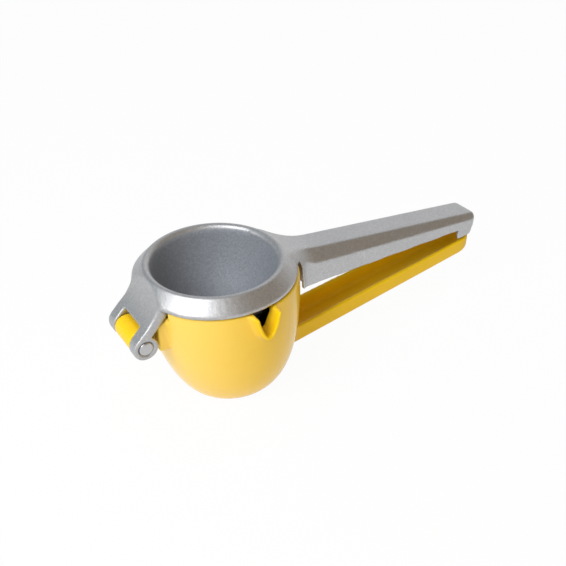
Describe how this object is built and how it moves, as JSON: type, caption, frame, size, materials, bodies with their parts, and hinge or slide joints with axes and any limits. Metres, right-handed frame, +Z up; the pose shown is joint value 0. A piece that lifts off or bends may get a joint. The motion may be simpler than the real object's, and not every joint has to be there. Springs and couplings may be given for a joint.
{
  "type": "citrus press",
  "caption": "Hand citrus press: a hinged upper arm with a pressing bowl and bevelled handle closes over a cup with pouring lip, channel handle and inner sieve.",
  "frame": {"origin": "on the flat foot of the cup, below the upright axis of the pressing bowl", "axes": "+X along the closed handles away from the hinge, +Z up, the pouring lip faces -Y"},
  "size_m": [0.212, 0.083, 0.0692],
  "materials": {
    "yellow_enamel": "gloss",
    "silver_casting": "satin",
    "rivet_steel": "polished",
    "sieve_steel": "satin"
  },
  "bodies": {
    "lower": {"lower_arm": "yellow_enamel", "sieve": "sieve_steel"},
    "upper": {"upper_arm": "silver_casting", "hinge_rivet": "rivet_steel"}
  },
  "joints": [
    {"name": "hinge", "type": "hinge", "parent": "lower", "child": "upper", "pos_m": [-0.0438, 0, 0.0436], "axis": [0, -1, 0], "range_deg": [0, 180]}
  ]
}
